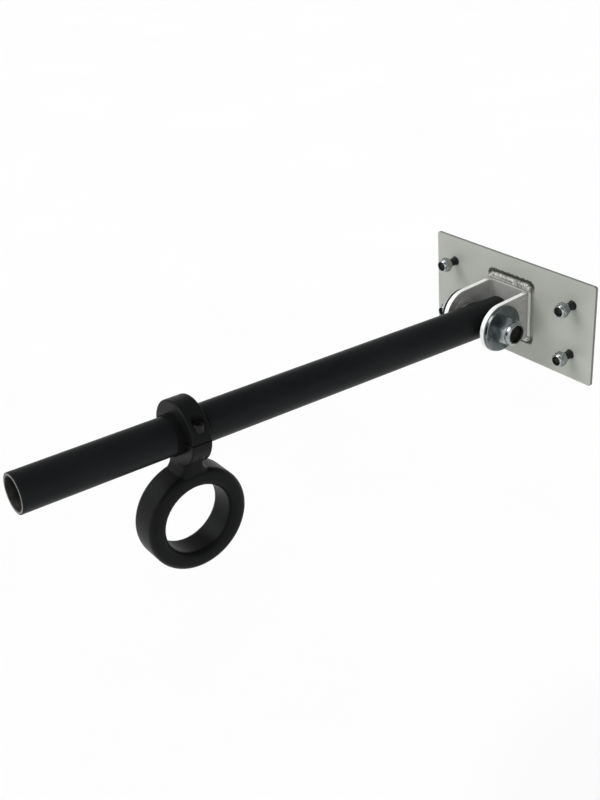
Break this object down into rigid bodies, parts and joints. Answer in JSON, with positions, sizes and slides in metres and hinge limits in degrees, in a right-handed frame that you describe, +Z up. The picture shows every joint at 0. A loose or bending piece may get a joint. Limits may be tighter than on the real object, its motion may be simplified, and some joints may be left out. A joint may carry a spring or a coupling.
{
  "type": "folding wall bar with clamp-on ring",
  "caption": "Straight bar hinged in a clevis on a rectangular wall plate, with a ring hanging from a two-piece clamp that slides and turns on the bar.",
  "frame": {"origin": "centre of the wall plate's back face", "axes": "+X right for someone facing the wall, +Y into the wall, +Z up; the bar points along -Y"},
  "size_m": [0.2032, 0.5434, 0.1553],
  "materials": {
    "plate_coat": "satin light grey-green powder coat",
    "clevis_metal": "brushed, bright at its edges",
    "weld_metal": "rippled bead",
    "stud_steel": "black oxide thread",
    "zinc": "bright zinc plate",
    "nylon": "dark plastic locking ring",
    "thrust_plastic": "grey bearing plastic",
    "bar_coat": "satin black powder coat",
    "bar_steel": "plain steel",
    "liner_rubber": "matt black rubber",
    "ring_black": "satin black",
    "screw_black": "black oxide"
  },
  "bodies": {
    "bracket": {"wall_plate": "plate_coat", "clevis_bracket": "clevis_metal", "clevis_weld": "weld_metal", "wall_studs": "stud_steel", "wall_nuts": "zinc", "wall_nut_inserts": "nylon", "pivot_bolt": "zinc", "pivot_washer_nut": "zinc", "pivot_washer_head": "stud_steel", "pivot_lock_nut": "zinc", "pivot_nut_insert": "nylon", "thrust_washer_left": "thrust_plastic", "thrust_washer_right": "thrust_plastic"},
    "bar": {"bar_tube": "bar_coat", "pivot_sleeve": "bar_steel", "sleeve_weld_left": "bar_coat", "sleeve_weld_right": "bar_coat"},
    "liner": {"clamp_liner": "liner_rubber"},
    "ring_clamp": {"ring_base": "ring_black", "clamp_cap": "ring_black", "clamp_screw_left": "screw_black", "clamp_screw_right": "screw_black"}
  },
  "joints": [
    {"name": "bar_fold", "type": "hinge", "parent": "bracket", "child": "bar", "pos_m": [0, -0.0444, 0], "axis": [-1, 0, 0], "range_deg": [-78, 86]},
    {"name": "clamp_slide", "type": "slide", "parent": "bar", "child": "liner", "axis": [0, -0.9979, 0.0642], "range_m": [-0.19, 0.128]},
    {"name": "clamp_turn", "type": "hinge", "parent": "liner", "child": "ring_clamp", "pos_m": [0, -0.37971, 0.02157], "axis": [0, -0.9979, 0.0642], "continuous": true}
  ]
}
